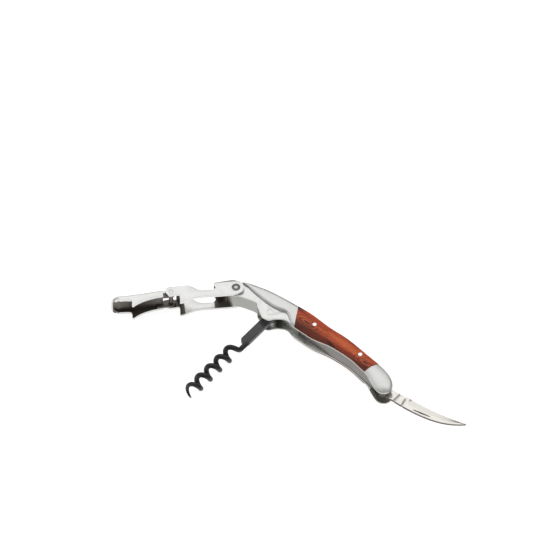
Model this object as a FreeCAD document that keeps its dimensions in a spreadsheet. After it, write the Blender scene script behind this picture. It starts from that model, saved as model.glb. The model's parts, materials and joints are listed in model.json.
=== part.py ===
import FreeCAD, Part
import math
import os

import Sketcher
from FreeCAD import Vector

# Two-step waiter's corkscrew, lying on its side, with every limb opened.
#
# Each limb is drawn about its own pivot, with the middle plane of the tool at z = 0:
#   handle        origin at the lever rivet, +x to the knife end, +y to the back of the handle
#   first lever   origin at the lever rivet, +x along the lever, +y to the side of the lip step
#   second lever  origin at the hinge pin, +x along the lever, +y to the side of the lip step
#   worm          origin at the worm pin, +x along the shank
#   blade         origin at the blade pin, +x along the tang, +y to the cutting edge
# "near" is the side that faces up as the tool lies, "far" the side it lies on.

doc = FreeCAD.newDocument("corkscrew")

# ---------------------------------------------------------------- driving dimensions, mm and degrees

SIZES = {
    "rivet_x": -53.3,           # place of the lever rivet in the part's own frame
    "rivet_y": 26.78,
    "half_depth": 6.8,           # middle plane to the outermost faces
    "core_half": 5.2,            # middle plane to the liners' outer faces
    "liner_thickness": 0.8,
    "nose_radius": 4.9,
    "dome_radius": 34.0,         # crown of scales and bolsters, across the handle
    "crown_sweep": 250.0,        # radius of the crown line, along the handle
    "crown_x": 58.0,
    "crown_y": 9.5,
    "rim_radius": 0.5,           # rounding of the outer rim of the wood and front bolsters
    "front_pin_x": 50.0,         # bright pins in the scales
    "front_pin_y": 9.5,
    "rear_pin_x": 82.5,
    "rear_pin_y": 10.6,
    "scale_pin_radius": 1.3,
    "scale_pin_drop": 0.03,      # pin ends, below the outermost faces
    "neck_pin_radius": 1.0,
    "spring_pin_radius": 0.8,
    "running_gap": 0.05,         # radial gap of every pin in a part that turns on it
    "side_gap": 0.1,             # gap between faces that slide past each other
    "rivet_radius": 1.6,
    "rivet_head_radius": 2.4,
    "rivet_head_depth": 0.7,
    "lever_angle": 227.8,
    "lever_inner_half": 5.35,
    "hinge_along": 36.6,         # hinge pin, seen from the lever rivet
    "hinge_across": -1.4,
    "hinge_pin_radius": 1.2,
    "second_angle": 228.8,
    "tongue_outer_half": 5.2,
    "tongue_inner_half": 3.9,
    "worm_x": 25.05,             # worm pin, seen from the lever rivet
    "worm_y": 0.6,
    "worm_angle": 270.8,
    "worm_pin_radius": 1.9,
    "worm_spacer_radius": 3.2,
    "eye_radius": 3.6,
    "eye_room": 0.8,             # free space round the eye in the neck block
    "shank_width": 5.3,
    "shank_depth": 2.8,
    "shank_length": 23.6,
    "shank_corner": 2.0,
    "wire_radius": 1.5,
    "coil_radius": 3.0,          # to the middle of the wire
    "coil_pitch": 8.2,
    "coil_offset": -1.6,         # coil axis, seen from the shank's middle line
    "worm_length": 70.6,
    "tip_radius": 0.15,
    "blade_x": 105.0,            # blade pin, seen from the lever rivet
    "blade_y": 4.5,
    "blade_angle": 6.0,
    "blade_thickness": 1.8,
    "blade_pin_radius": 1.5,
    "blade_spacer_radius": 3.0,
    "tang_radius": 3.6,
    "nick_depth": 0.4,
}

sheet = doc.addObject("Spreadsheet::Sheet", "sizes")
for row, (name, value) in enumerate(SIZES.items(), start=1):
    sheet.set(f"A{row}", name)
    sheet.set(f"B{row}", str(value))
    sheet.setAlias(f"B{row}", name)
doc.recompute()

NEAR = 1
FAR = -1
SIDES = {"near": NEAR, "far": FAR}
BEYOND = 20.0                    # reaches past every outline, for cuts
FRONT_LIMIT = -12.0
REAR_LIMIT = 130.0
CROWN_HALF_WIDTH = 14.0          # wider than the handle anywhere
CROWN_TURN = 60.0                # degrees of the crown line, longer than the handle

# ---------------------------------------------------------------- drawing and placing


def sized(text):
    """Turn <name> in an expression into a reference to that cell of the sheet."""
    return text.replace("<", "sizes.").replace(">", "")


def place(part, x_text, y_text, angle_text):
    """Bind a part's place: its pivot, the middle plane and its turn about the pivot."""
    spot = f"vector({x_text}; {y_text}; <half_depth>)"
    turn = f"rotation(vector(0; 0; 1); {angle_text})"
    part.setExpression("Placement", sized(f"placement({spot}; {turn})"))


def place_on_handle(part):
    place(part, "<rivet_x>", "<rivet_y>", "0")


def new_body(label):
    body = doc.addObject("PartDesign::Body", label)
    body.Label = label
    return body


def new_sketch(body, name, role="XY_Plane", height="0"):
    """Add a sketch on one of the body's own planes, raised along the plane's normal."""
    plane = next(item for item in body.Origin.OriginFeatures if item.Role == role)
    sketch = body.newObject("Sketcher::SketchObject", f"{body.Label}_{name}")
    sketch.AttachmentSupport = [(plane, "")]
    sketch.MapMode = "FlatFace"
    sketch.setExpression("AttachmentOffset.Base.z", sized(height))
    return sketch


def draw(sketch, runs):
    """Draw a closed outline from straight, three-point-arc and smooth runs."""
    for kind, corners in runs:
        points = [Vector(x, y, 0) for x, y in corners]
        if kind == "smooth":
            curve = Part.BSplineCurve()
            curve.interpolate(points)
            sketch.addGeometry(curve)
        elif kind == "arc":
            sketch.addGeometry(Part.Arc(*points))
        else:
            for start, end in zip(points, points[1:]):
                sketch.addGeometry(Part.LineSegment(start, end))


def draw_circle(sketch, x_text, y_text, radius_text):
    """Draw a circle whose centre and radius are bound to the sheet."""
    ring = sketch.addGeometry(Part.Circle(Vector(0, 0, 0), Vector(0, 0, 1), 1))
    if (x_text, y_text) == ("0", "0"):
        sketch.addConstraint(Sketcher.Constraint("Coincident", ring, 3, -1, 1))
    else:
        for kind, text in (("DistanceX", x_text), ("DistanceY", y_text)):
            index = sketch.addConstraint(Sketcher.Constraint(kind, -1, 1, ring, 3, 0.1))
            sketch.setExpression(f"Constraints[{index}]", sized(text))
    index = sketch.addConstraint(Sketcher.Constraint("Radius", ring, 1.0))
    sketch.setExpression(f"Constraints[{index}]", sized(radius_text))


def pad(body, sketch, length, side=NEAR, midplane=False):
    feature = body.newObject("PartDesign::Pad", f"{sketch.Name}_pad")
    feature.Profile = sketch
    feature.Reversed = side == FAR
    feature.Midplane = midplane
    feature.setExpression("Length", sized(length))
    return feature


def pocket(body, sketch, length):
    """Cut half of length to each side of the sketch."""
    feature = body.newObject("PartDesign::Pocket", f"{sketch.Name}_pocket")
    feature.Profile = sketch
    feature.Midplane = True
    feature.setExpression("Length", sized(length))
    return feature


def cut_outline(body, name, runs, length="4 * <half_depth>"):
    sketch = new_sketch(body, name)
    draw(sketch, runs)
    return pocket(body, sketch, length)


def bore(body, name, x_text, y_text, radius_text, length="4 * <half_depth>", height="0"):
    sketch = new_sketch(body, name, height=height)
    draw_circle(sketch, x_text, y_text, radius_text)
    return pocket(body, sketch, length)


def round_edges(body, name, radius_text, wanted):
    """Round the edges that the test picks, given three points along each."""
    doc.recompute()
    base = body.Tip
    picked = []
    for index, edge in enumerate(base.Shape.Edges, start=1):
        first, last = edge.ParameterRange
        points = [edge.valueAt(first + share * (last - first)) for share in (0.25, 0.5, 0.75)]
        if wanted(points):
            picked.append(f"Edge{index}")
    feature = body.newObject("PartDesign::Fillet", f"{body.Label}_{name}")
    feature.Base = (base, picked)
    feature.setExpression("Radius", sized(radius_text))
    body.Tip = feature
    return feature


def cylinder(label, x_text, y_text, low_text, high_text, radius_text):
    """Add a straight pin, its ends measured from the middle plane."""
    pin = doc.addObject("Part::Cylinder", label)
    pin.setExpression("Radius", sized(radius_text))
    pin.setExpression("Height", sized(f"({high_text}) - ({low_text})"))
    spot = f"vector({x_text}; {y_text}; {low_text})"
    turn = "rotation(vector(0; 0; 1); 0)"
    pin.setExpression("Placement", sized(f"placement({spot}; {turn})"))
    return pin


def group(label, pieces):
    compound = doc.addObject("Part::Compound", label)
    compound.Label = label
    compound.Links = pieces
    return compound


# ---------------------------------------------------------------- handle outline


def on_nose(angle):
    """A point on the round nose, about the lever rivet."""
    turn = math.radians(angle)
    return (SIZES["nose_radius"] * math.cos(turn), SIZES["nose_radius"] * math.sin(turn))


NOSE_TOP = on_nose(128)
NOSE_BOTTOM = on_nose(-37)
BACK_REAR = (94.0, 12.8)
BELLY_REAR = (91.4, 3.8)
BELLY_FRONT = (42.5, 1.3)
CHIN_REAR = (29.2, -2.5)
CHIN_FRONT = (23.1, -4.8)
NECK_STEP = (16.6, -1.1)

HANDLE = [
    ("smooth", [NOSE_TOP, (0.5, 6.0), (4.5, 7.8), (9.5, 9.4), (15, 10.9), (21, 12.0), (28, 12.9),
                (36, 13.7), (45, 14.3), (57, 13.9), (68, 14.5), (80, 13.9), BACK_REAR]),
    ("smooth", [BACK_REAR, (99, 12.1), (104, 10.6), (108, 8.2), (110.3, 5.2), (110.5, 2.2),
                (108.9, -0.2), (106.3, -1.4), (103.2, -1.0), (99.8, 0.3), (96, 2.1), BELLY_REAR]),
    ("smooth", [BELLY_REAR, (87.5, 4.2), (82, 5.0), (76, 5.2), (70.5, 4.9), (65, 4.3),
                (60.5, 3.2), (55, 1.9), (49.3, 1.5), BELLY_FRONT]),
    ("smooth", [BELLY_FRONT, (39.5, 1.6), (36.6, 2.3), (33, 1.1), CHIN_REAR]),
    ("arc", [CHIN_REAR, (26.3, -5.1), CHIN_FRONT]),
    ("line", [CHIN_FRONT, NECK_STEP]),
    ("smooth", [NECK_STEP, (15.3, 0.2), (12, -0.2), (8.5, -1.2), NOSE_BOTTOM]),
    ("arc", [NOSE_BOTTOM, on_nose(-135), NOSE_TOP]),
]

# the slanted joints between bolsters and wood, from above the back to below the belly
FRONT_JOINT = [(33.5, 15.5), (43.4, -1.0)]
REAR_JOINT = [(94.3, 14.5), (90.8, 2.0)]

# lower edge of the front bolster: a groove that follows the folded lever
GROOVE = [(-6, 4.6), (-2, 4.7), (0.7, 5.1), (4.5, 4.95), (8.8, 4.4), (16.1, 3.7), (22.2, 3.5),
          (28.1, 4.5), (31.9, 5.6), (35.5, 4.1), (38.6, 1.9), (41.5, -1.0)]


# pins hidden under the bolsters and the wood
NECK_PINS = [(12.0, 7.4), (32.0, 10.2)]
SPRING_PINS = [(46.0, 6.2), (66.0, 6.4)]


# ---------------------------------------------------------------- handle


def liner(name, side):
    body = new_body(f"{name}_liner")
    inner = "<core_half> - <liner_thickness>"
    sketch = new_sketch(body, "outline", height=f"{side} * ({inner})")
    draw(sketch, HANDLE)
    pad(body, sketch, "<liner_thickness>", side)
    bore(body, "rivet_hole", "0", "0", "<rivet_radius>")
    bore(body, "worm_pin_hole", "<worm_x>", "<worm_y>", "<worm_pin_radius>")
    bore(body, "blade_pin_hole", "<blade_x>", "<blade_y>", "<blade_pin_radius>")
    for index, (x, y) in enumerate(NECK_PINS):
        bore(body, f"neck_pin_hole_{index}", str(x), str(y), "<neck_pin_radius>")
    for index, (x, y) in enumerate(SPRING_PINS):
        bore(body, f"spring_pin_hole_{index}", str(x), str(y), "<spring_pin_radius>")
    for end in ("front", "rear"):
        bore(body, f"{end}_pin_hole", f"<{end}_pin_x>", f"<{end}_pin_y>", "<scale_pin_radius>")
    place_on_handle(body)
    return body


def neck_block():
    """Solid spacer; cut back round the worm's eye and shank, the spring and the knife slot."""
    body = new_body("neck_block")
    sketch = new_sketch(body, "outline")
    draw(sketch, HANDLE)
    pad(body, sketch, "2 * (<core_half> - <liner_thickness>)", midplane=True)
    eye_room = SIZES["eye_radius"] + SIZES["eye_room"]
    diagonal = eye_room * math.sqrt(0.5)
    eye_front = (SIZES["worm_x"] - eye_room, SIZES["worm_y"])
    eye_top = (SIZES["worm_x"], SIZES["worm_y"] + eye_room)
    eye_corner = (SIZES["worm_x"] - diagonal, SIZES["worm_y"] + diagonal)
    cut_outline(body, "cut", [
        ("arc", [eye_front, eye_corner, eye_top]),
        ("line", [eye_top, (30, 4.3), (42.7, 4.3), (42.7, 8.1), (49.6, 8.3), (51.2, BEYOND),
                  (REAR_LIMIT, BEYOND), (REAR_LIMIT, -BEYOND), (17.6, -BEYOND), (17.6, -1.2),
                  eye_front]),
    ])
    bore(body, "rivet_hole", "0", "0", "<rivet_radius>")
    for index, (x, y) in enumerate(NECK_PINS):
        bore(body, f"pin_hole_{index}", str(x), str(y), "<neck_pin_radius>")
    place_on_handle(body)
    return body


def knife_spring():
    """Leaf between worm bay and knife slot, thick at its two pins, its tail against the tang."""
    body = new_body("knife_spring")
    sketch = new_sketch(body, "outline")
    draw(sketch, [
        ("line", [(43, 4.6), (43, 7.8), (49, 7.8)]),
        ("smooth", [(49, 7.8), (53, 6.6), (59, 6.6), (63, 7.9), (66, 8.3), (69, 7.9), (73, 6.8),
                    (80, 6.7), (87.5, 5.8), (92, 5.0), (96.5, 4.2), (100.4, 3.3)]),
        ("line", [(100.4, 3.3), (100.8, 2.1)]),
        ("smooth", [(100.8, 2.1), (97, 3.2), (92, 4.0), (87.5, 4.5), (82, 5.2), (76, 5.4),
                    (70, 4.95), (62, 4.6), (55, 4.5), (43, 4.6)]),
    ])
    pad(body, sketch, "2 * (<core_half> - <liner_thickness> - <side_gap> / 2)", midplane=True)
    for index, (x, y) in enumerate(SPRING_PINS):
        bore(body, f"pin_hole_{index}", str(x), str(y), "<spring_pin_radius>")
    place_on_handle(body)
    return body


def cover(label, side):
    """Start a cover plate of the handle's full outline on one liner."""
    body = new_body(label)
    sketch = new_sketch(body, "outline", height=f"{side} * <core_half>")
    draw(sketch, HANDLE)
    pad(body, sketch, "<half_depth> - <core_half>", side)
    return body


def cut_beyond(body, joint, far_x):
    """Take away all of the plate between a slanted joint and far_x."""
    top, bottom = joint
    name = "front_joint" if joint is FRONT_JOINT else "rear_joint"
    cut_outline(body, name, [
        ("line", [bottom, top, (top[0], BEYOND), (far_x, BEYOND), (far_x, -BEYOND),
                  (bottom[0], -BEYOND), bottom]),
    ])


def dome(body, side):
    """Cut the crown: a shallow arc across the handle, swept along it about a far axis."""
    profile = new_sketch(body, "crown", role="YZ_Plane", height="<crown_x>")
    profile.setExpression("AttachmentOffset.Base.x", sized("<crown_y> - <crown_sweep>"))
    middle = SIZES["crown_sweep"]
    left = middle - CROWN_HALF_WIDTH
    right = middle + CROWN_HALF_WIDTH
    drop = SIZES["dome_radius"] - math.sqrt(SIZES["dome_radius"] ** 2 - CROWN_HALF_WIDTH ** 2)
    top = side * SIZES["half_depth"]
    low = side * (SIZES["half_depth"] - drop)
    high = side * BEYOND
    draw(profile, [
        ("arc", [(left, low), (middle, top), (right, low)]),
        ("line", [(right, low), (right, high), (left, high), (left, low)]),
    ])
    groove = body.newObject("PartDesign::Groove", f"{body.Label}_dome")
    groove.Profile = profile
    groove.ReferenceAxis = (profile, ["V_Axis"])
    groove.Angle = CROWN_TURN
    groove.Midplane = True
    return groove


def off_joint(point, joint):
    """Distance of a point from a slanted joint, seen from above."""
    (x, y), (end_x, end_y) = joint
    across = (end_x - x) * (point.y - y) - (end_y - y) * (point.x - x)
    return abs(across) / math.hypot(end_x - x, end_y - y)


def soften_rim(body, side):
    """Round the crown's outer rim, but leave the slanted joints sharp."""
    def on_rim(points):
        heights = [side * point.z for point in points]
        raised = min(heights) > SIZES["core_half"] + 0.2
        on_crown = min(heights) > SIZES["half_depth"] - 0.01
        at_joint = any(max(off_joint(point, joint) for point in points) < 0.3
                       for joint in (FRONT_JOINT, REAR_JOINT))
        return raised and not on_crown and not at_joint

    round_edges(body, "rim", "<rim_radius>", on_rim)


def front_bolster(name, side):
    body = cover(f"{name}_front_bolster", side)
    cut_beyond(body, FRONT_JOINT, REAR_LIMIT)
    cut_outline(body, "groove", [
        ("smooth", GROOVE),
        ("line", [GROOVE[-1], (GROOVE[-1][0], -BEYOND), (FRONT_LIMIT, -BEYOND),
                  (FRONT_LIMIT, GROOVE[0][1]), GROOVE[0]]),
    ])
    dome(body, side)
    soften_rim(body, side)
    place_on_handle(body)
    return body


def rear_bolster(name, side):
    body = cover(f"{name}_rear_bolster", side)
    cut_beyond(body, REAR_JOINT, FRONT_LIMIT)
    dome(body, side)
    place_on_handle(body)
    return body


def scale(name, side):
    body = cover(f"{name}_scale", side)
    cut_beyond(body, FRONT_JOINT, FRONT_LIMIT)
    cut_beyond(body, REAR_JOINT, REAR_LIMIT)
    dome(body, side)
    soften_rim(body, side)
    for end in ("front", "rear"):
        bore(body, f"{end}_pin_hole", f"<{end}_pin_x>", f"<{end}_pin_y>", "<scale_pin_radius>")
    place_on_handle(body)
    return body


def through_pins(label, spots, radius_text):
    """Pins that run from one liner's outer face to the other's."""
    pins = [cylinder(f"{label}_{index}", str(x), str(y), "-<core_half>", "<core_half>", radius_text)
            for index, (x, y) in enumerate(spots)]
    compound = group(label, pins)
    place_on_handle(compound)
    return compound


def scale_pins():
    """Four short pins, each through one scale and one liner, dressed off just proud of the wood."""
    pins = []
    for side_name, side in SIDES.items():
        ends = ["<core_half> - <liner_thickness>", "<half_depth> - <scale_pin_drop>"]
        if side == FAR:
            ends = [f"-({ends[1]})", f"-({ends[0]})"]
        for end in ("front", "rear"):
            pins.append(cylinder(f"{side_name}_{end}_scale_pin", f"<{end}_pin_x>", f"<{end}_pin_y>",
                                 ends[0], ends[1], "<scale_pin_radius>"))
    compound = group("scale_pins", pins)
    place_on_handle(compound)
    return compound


def lever_rivet():
    """Rivet with two flush heads, sunk in the lever's walls."""
    shank = cylinder("rivet_shank", "0", "0", "-<half_depth>", "<half_depth>", "<rivet_radius>")
    near_head = cylinder("near_rivet_head", "0", "0", "<half_depth> - <rivet_head_depth>",
                         "<half_depth>", "<rivet_head_radius>")
    far_head = cylinder("far_rivet_head", "0", "0", "-<half_depth>",
                        "<rivet_head_depth> - <half_depth>", "<rivet_head_radius>")
    rivet = doc.addObject("Part::MultiFuse", "lever_rivet")
    rivet.Label = "lever_rivet"
    rivet.Shapes = [shank, near_head, far_head]
    place_on_handle(rivet)
    return rivet


def pivot_pin(spot):
    """Pin of the worm or the blade, from one liner's outer face to the other's."""
    label = f"{spot}_pin"
    pin = doc.addObject("Part::Cylinder", label)
    pin.Label = label
    pin.setExpression("Radius", sized(f"<{spot}_pin_radius>"))
    pin.setExpression("Height", sized("2 * <core_half>"))
    x_text = f"<rivet_x> + <{spot}_x>"
    y_text = f"<rivet_y> + <{spot}_y>"
    turn = "rotation(vector(0; 0; 1); 0)"
    place_text = f"placement(vector({x_text}; {y_text}; <half_depth> - <core_half>); {turn})"
    pin.setExpression("Placement", sized(place_text))
    return pin


def spacer_pair(label, spot, half_text):
    """Two rings that hold a flat limb in the middle between the liners."""
    rings = []
    for side_name, side in SIDES.items():
        low = f"{half_text} + <side_gap>"
        high = "<core_half> - <liner_thickness>"
        if side == FAR:
            low, high = f"-({high})", f"-({low})"
        outer = cylinder(f"{side_name}_{label}_disc", f"<{spot}_x>", f"<{spot}_y>", low, high,
                         f"<{spot}_spacer_radius>")
        inner = cylinder(f"{side_name}_{label}_hole", f"<{spot}_x>", f"<{spot}_y>", low, high,
                         f"<{spot}_pin_radius>")
        ring = doc.addObject("Part::Cut", f"{side_name}_{label}_ring")
        ring.Base = outer
        ring.Tool = inner
        rings.append(ring)
    compound = group(label, rings)
    place_on_handle(compound)
    return compound


# ---------------------------------------------------------------- levers


def first_lever():
    """Bent channel: two walls joined by a short web behind the rivet and one at the hinge."""
    body = new_body("first_lever")
    low = -5.2
    hinge_low = -4.6
    sketch = new_sketch(body, "walls")
    draw(sketch, [
        ("arc", [(0, 4.4), (-4.45, 0), (-1.2, -4.35)]),
        ("smooth", [(-1.2, -4.35), (0.6, -5.0), (2.5, low)]),
        ("line", [(2.5, low), (11.0, low)]),
        ("arc", [(11.0, low), (11.9, -4.6), (12.0, -3.4)]),
        ("smooth", [(12.0, -3.4), (11.3, -1.6), (12.3, -0.3), (16, 0.1), (20.3, -0.5),
                    (23, -2.2), (25.5, -3.9), (29, hinge_low)]),
        ("line", [(29, hinge_low), (36, hinge_low)]),
        ("arc", [(36, hinge_low), (39.6, -1.4), (37, 1.2)]),
        ("line", [(37, 1.2), (32.2, 1.0), (31.9, 2.6), (32.3, 6.5), (31.6, 6.8)]),
        ("smooth", [(31.6, 6.8), (29.5, 6.3), (26.7, 5.3), (23.5, 4.4), (20.9, 4.1), (16, 4.2),
                    (10.8, 4.4), (0, 4.4)]),
    ])
    pad(body, sketch, "2 * <half_depth>", midplane=True)
    wall = SIZES["half_depth"] - SIZES["lever_inner_half"]
    web_top = low + wall
    hinge_web_top = hinge_low + wall
    cut_outline(body, "inside", [
        ("line", [(FRONT_LIMIT, BEYOND), (REAR_LIMIT, BEYOND), (REAR_LIMIT, -BEYOND), (33.4, -BEYOND),
                  (33.4, hinge_web_top), (29.6, hinge_web_top), (29.6, -BEYOND), (12.2, -BEYOND),
                  (12.2, web_top), (5.2, web_top), (5.2, -BEYOND), (FRONT_LIMIT, -BEYOND),
                  (FRONT_LIMIT, BEYOND)]),
    ], "2 * <lever_inner_half>")
    bore(body, "rivet_hole", "0", "0", "<rivet_radius> + <running_gap>")
    for name, side in SIDES.items():
        bore(body, f"{name}_head_seat", "0", "0", "<rivet_head_radius> + <running_gap>",
             "2 * <rivet_head_depth>", f"{side} * <half_depth>")
    bore(body, "hinge_hole", "<hinge_along>", "<hinge_across>", "<hinge_pin_radius>")
    place(body, "<rivet_x>", "<rivet_y>", "<lever_angle>")
    return body


HINGE_X = ("<rivet_x> + <hinge_along> * cos(<lever_angle> * 1 deg)"
           " - <hinge_across> * sin(<lever_angle> * 1 deg)")
HINGE_Y = ("<rivet_y> + <hinge_along> * sin(<lever_angle> * 1 deg)"
           " + <hinge_across> * cos(<lever_angle> * 1 deg)")


def hinge_pin():
    pin = doc.addObject("Part::Cylinder", "hinge_pin")
    pin.Label = "hinge_pin"
    pin.setExpression("Radius", sized("<hinge_pin_radius>"))
    pin.setExpression("Height", sized("2 * <half_depth>"))
    turn = "rotation(vector(0; 0; 1); 0)"
    pin.setExpression("Placement", sized(f"placement(vector({HINGE_X}; {HINGE_Y}; 0); {turn})"))
    return pin


def second_lever():
    """Bent channel with a round closed nose; two tongues step inward to fit the first's lugs."""
    body = new_body("second_lever")
    sketch = new_sketch(body, "walls")
    draw(sketch, [
        ("line", [(4.6, -1.7), (4.6, 2.2)]),
        ("smooth", [(4.6, 2.2), (9, 2.5), (14, 3.4), (18.5, 4.9), (22, 6.9)]),
        ("line", [(22, 6.9), (22.7, 6.5), (22.4, 3.9), (22.9, 2.7)]),
        ("smooth", [(22.9, 2.7), (26, 2.1), (30, 1.9), (32.6, 1.8)]),
        ("arc", [(32.6, 1.8), (34.1, 0.8), (33.4, -0.4)]),
        ("smooth", [(33.4, -0.4), (28, -0.9), (22.3, -1.1), (14.4, -1.3), (8.5, -1.7), (4.6, -1.7)]),
    ])
    pad(body, sketch, "2 * <half_depth>", midplane=True)
    nose_start = 27.5
    nose_end = 34.2
    nose_half = 0.7              # half width of the flat at the very tip
    half = SIZES["half_depth"]
    nose = new_sketch(body, "nose_corners", role="XZ_Plane")
    for side in SIDES.values():
        tip = (nose_end, side * nose_half)
        draw(nose, [
            ("arc", [(nose_start, side * half), (nose_end - 1.6, side * 4.9), tip]),
            ("line", [tip, (nose_end + BEYOND, side * nose_half), (nose_end + BEYOND, side * BEYOND),
                      (nose_start, side * BEYOND), (nose_start, side * half)]),
        ])
    pocket(body, nose, "4 * <half_depth>")
    inside = new_sketch(body, "inside", role="XZ_Plane", height="-0.3")
    inner = SIZES["tongue_outer_half"]
    inner_start = 2.0
    inner_end = nose_end - 1.5
    draw(inside, [
        ("line", [(nose_start, inner), (inner_start, inner), (inner_start, -inner), (nose_start, -inner)]),
        ("arc", [(nose_start, -inner), (inner_end, 0), (nose_start, inner)]),
    ])
    hollow = pocket(body, inside, "2 * <half_depth>")
    hollow.Midplane = False
    for name, side in SIDES.items():
        tongue = new_sketch(body, f"{name}_tongue", height=f"{side} * <tongue_inner_half>")
        draw(tongue, [
            ("arc", [(0, 2.5), (-2.5, 0), (0, -2.5)]),
            ("smooth", [(0, -2.5), (3, -2.1), (6, -1.6), (9, -0.9)]),
            ("line", [(9, -0.9), (8.2, 2.3)]),
            ("smooth", [(8.2, 2.3), (4, 2.2), (0, 2.5)]),
        ])
        pad(body, tongue, "<tongue_outer_half> - <tongue_inner_half>", side)
    bore(body, "hinge_hole", "0", "0", "<hinge_pin_radius> + <running_gap>")
    place(body, HINGE_X, HINGE_Y, "<second_angle>")
    return body


# ---------------------------------------------------------------- worm


def smooth_step(share):
    share = min(max(share, 0.0), 1.0)
    return share * share * (3 - 2 * share)


def worm_path(step_count):
    """Middle of the wire: along the shank's edge, then swinging out into a right-handed coil."""
    start_x = 22.0
    lead_start = 26.5
    lead_end = 31.7
    points = []
    turn = 0.0
    step = (SIZES["worm_length"] - start_x) / step_count
    for index in range(step_count + 1):
        x = start_x + index * step
        across = SIZES["coil_offset"] + SIZES["coil_radius"] * math.cos(turn)
        points.append(Vector(x, across, SIZES["coil_radius"] * math.sin(turn)))
        share = smooth_step((x - lead_start) / (lead_end - lead_start))
        turn += share * 2 * math.pi * step / SIZES["coil_pitch"]
    return points


def wire(points, first_radius, last_radius):
    """Sweep a round wire along points, its radius changing evenly from end to end."""
    curve = Part.BSplineCurve()
    curve.interpolate(points)
    spine = Part.Wire([curve.toShape()])
    rings = []
    for share, radius in ((0.0, first_radius), (1.0, last_radius)):
        at = curve.FirstParameter + share * (curve.LastParameter - curve.FirstParameter)
        circle = Part.Circle(curve.value(at), Vector(*curve.tangent(at)[0]), radius)
        rings.append(Part.Wire([circle.toShape()]))
    if first_radius == last_radius:
        rings = rings[:1]
    return spine.makePipeShell(rings, True, False)


def worm():
    """Wire coil, one piece with its flattened shank and eye."""
    half_depth = SIZES["shank_depth"] / 2
    half_width = SIZES["shank_width"] / 2
    eye = Part.makeCylinder(SIZES["eye_radius"], SIZES["shank_depth"], Vector(0, 0, -half_depth))
    bar = Part.makeBox(SIZES["shank_length"], SIZES["shank_width"], SIZES["shank_depth"],
                       Vector(0, -half_width, -half_depth))
    hole = Part.makeCylinder(SIZES["worm_pin_radius"] + SIZES["running_gap"],
                             2 * SIZES["shank_depth"], Vector(0, 0, -SIZES["shank_depth"]))
    step_count = 90
    tip_steps = 6
    points = worm_path(step_count)
    coil = wire(points[:-tip_steps], SIZES["wire_radius"], SIZES["wire_radius"])
    tip = wire(points[-tip_steps - 2:], 0.98 * SIZES["wire_radius"], SIZES["tip_radius"])
    flat = eye.fuse(bar).cut(hole)
    corners = [edge for edge in flat.Edges
               if abs(edge.CenterOfMass.x - SIZES["shank_length"]) < 0.01
               and abs(edge.Length - SIZES["shank_depth"]) < 0.01]
    flat = flat.makeFillet(SIZES["shank_corner"], corners)
    part = doc.addObject("Part::Feature", "worm")
    part.Label = "worm"
    part.Shape = flat.fuse(coil).fuse(tip)
    place(part, "<rivet_x> + <worm_x>", "<rivet_y> + <worm_y>", "<worm_angle>")
    return part


# ---------------------------------------------------------------- knife


def blade():
    """Curved foil knife: convex spine, hollow edge, nail nick near the spine."""
    body = new_body("blade")
    tang = SIZES["tang_radius"]
    waist = 1.5
    high = math.sqrt(tang ** 2 - waist ** 2)
    sketch = new_sketch(body, "outline")
    draw(sketch, [
        ("arc", [(waist, -high), (-tang, 0), (waist, high)]),
        ("line", [(waist, high), (3.4, 2.2), (12.6, 2.2), (14.2, 2.9)]),
        ("smooth", [(14.2, 2.9), (22, 3.0), (30, 3.5), (38, 4.4), (45, 5.6), (49.9, 6.75)]),
        ("arc", [(49.9, 6.75), (50.5, 6.6), (50.3, 6.1)]),
        ("smooth", [(50.3, 6.1), (46, 3.0), (39, -0.4), (31, -2.5), (22, -3.5), (13, -3.7),
                    (5, -3.4), (waist, -high)]),
    ])
    pad(body, sketch, "<blade_thickness>", midplane=True)
    bore(body, "pin_hole", "0", "0", "<blade_pin_radius> + <running_gap>")
    nick = new_sketch(body, "nail_nick", height="<blade_thickness> / 2")
    draw(nick, [
        ("arc", [(20.8, -2.4), (26.4, -1.3), (32.0, -0.8)]),
        ("arc", [(32.0, -0.8), (26.6, -2.1), (20.8, -2.4)]),
    ])
    pocket(body, nick, "2 * <nick_depth>")
    place(body, "<rivet_x> + <blade_x>", "<rivet_y> + <blade_y>", "<blade_angle>")
    return body


# ---------------------------------------------------------------- build, check and write

parts = []
for side_name, side in SIDES.items():
    parts.append(liner(side_name, side))
    parts.append(front_bolster(side_name, side))
    parts.append(rear_bolster(side_name, side))
    parts.append(scale(side_name, side))
parts.append(neck_block())
parts.append(knife_spring())
parts.append(through_pins("neck_pins", NECK_PINS, "<neck_pin_radius>"))
parts.append(through_pins("spring_pins", SPRING_PINS, "<spring_pin_radius>"))
parts.append(scale_pins())
parts.append(lever_rivet())
parts.append(pivot_pin("worm"))
parts.append(pivot_pin("blade"))
parts.append(spacer_pair("worm_spacers", "worm", "<shank_depth> / 2"))
parts.append(spacer_pair("blade_spacers", "blade", "<blade_thickness> / 2"))
parts.append(first_lever())
parts.append(hinge_pin())
parts.append(second_lever())
parts.append(worm())
parts.append(blade())

doc.recompute()
for item in doc.Objects:
    if "Invalid" in item.State or "Error" in item.State:
        raise RuntimeError(f"{item.Name} failed: {item.State}")
for part in parts:
    if part.Shape.isNull() or not part.Shape.isValid() or not part.Shape.Solids:
        raise RuntimeError(f"{part.Label} has no valid solid")

os.makedirs("parts", exist_ok=True)
for part in parts:
    part.Shape.exportStep(f"parts/{part.Label}.step")
    box = part.Shape.BoundBox
    print(f"{part.Label}: {len(part.Shape.Solids)} solids, {part.Shape.Volume:.0f} mm3,"
          f" x {box.XMin:.1f} to {box.XMax:.1f}, y {box.YMin:.1f} to {box.YMax:.1f},"
          f" z {box.ZMin:.2f} to {box.ZMax:.2f}")
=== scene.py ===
import json
import math

import bmesh
import bpy
import numpy as np
from mathutils import Matrix, Vector


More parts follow.
